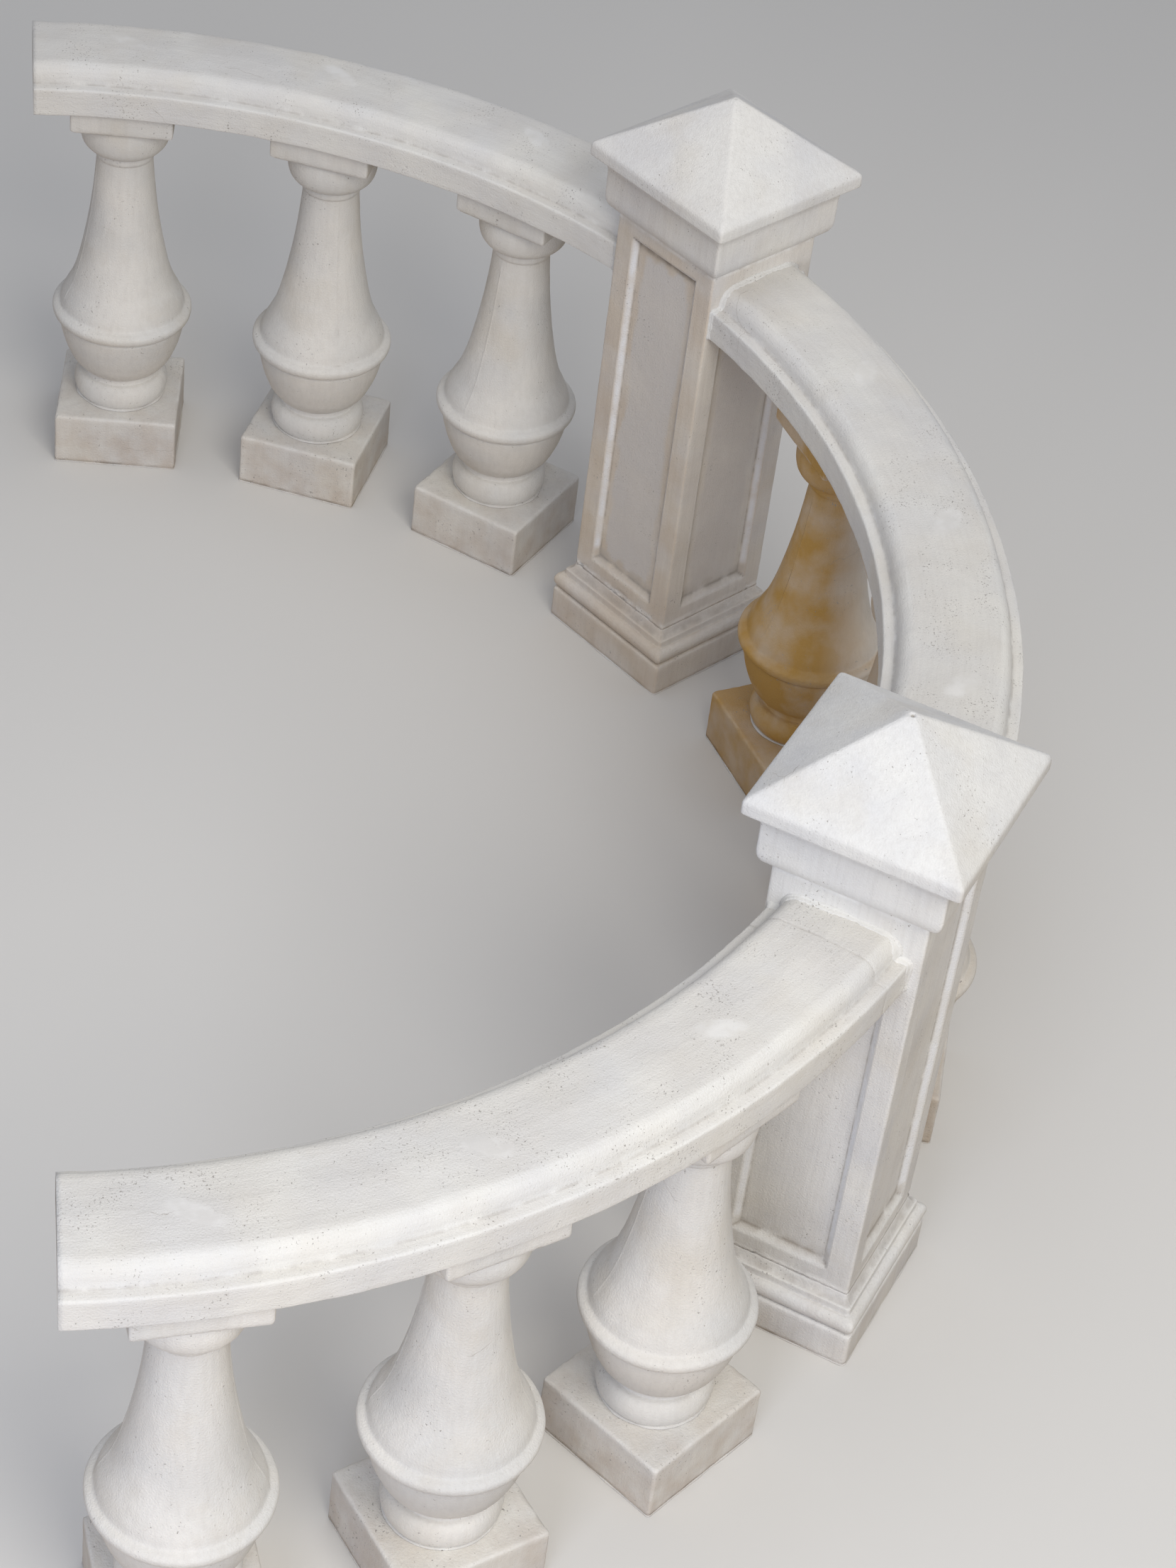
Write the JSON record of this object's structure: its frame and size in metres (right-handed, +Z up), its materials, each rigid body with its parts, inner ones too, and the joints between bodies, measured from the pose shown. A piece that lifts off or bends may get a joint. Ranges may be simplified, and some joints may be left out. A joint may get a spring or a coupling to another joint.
{
  "type": "balustrade",
  "caption": "Half-round concrete balcony balustrade: turned vase balusters on square plinths under a moulded curved handrail, between square panelled posts with pyramid caps.",
  "frame": {"origin": "middle of the bounding box's underside, on the floor", "axes": "+Z up; +X along the house wall, from the left post to the right one as seen from outside; the curve bulges towards -Y and its ends lie towards +Y, at the wall"},
  "size_m": [3.0715, 1.546, 1.152],
  "materials": {
    "post_paint": "cast concrete under matt white masonry paint, brushed on",
    "rail_paint": "cast concrete under matt white masonry paint, weathered and patched with mortar",
    "plinth_paint": "cast concrete under matt white masonry paint, pitted",
    "baluster_paint": "cast concrete under matt white masonry paint, with faint mould seams"
  },
  "bodies": {
    "root": {"post_left_block": "post_paint", "post_left_base_moulding": "post_paint", "post_left_shaft": "post_paint", "post_left_bed_moulding": "post_paint", "post_left_cap": "post_paint", "post_right_block": "post_paint", "post_right_base_moulding": "post_paint", "post_right_shaft": "post_paint", "post_right_bed_moulding": "post_paint", "post_right_cap": "post_paint", "rail_left": "rail_paint", "rail_middle": "rail_paint", "rail_right": "rail_paint", "plinth_left_1": "plinth_paint", "baluster_left_1": "baluster_paint", "plinth_left_2": "plinth_paint", "baluster_left_2": "baluster_paint", "plinth_left_3": "plinth_paint", "baluster_left_3": "baluster_paint", "plinth_middle_1": "plinth_paint", "baluster_middle_1": "baluster_paint", "plinth_middle_2": "plinth_paint", "baluster_middle_2": "baluster_paint", "plinth_middle_3": "plinth_paint", "baluster_middle_3": "baluster_paint", "plinth_right_1": "plinth_paint", "baluster_right_1": "baluster_paint", "plinth_right_2": "plinth_paint", "baluster_right_2": "baluster_paint", "plinth_right_3": "plinth_paint", "baluster_right_3": "baluster_paint"}
  },
  "joints": []
}
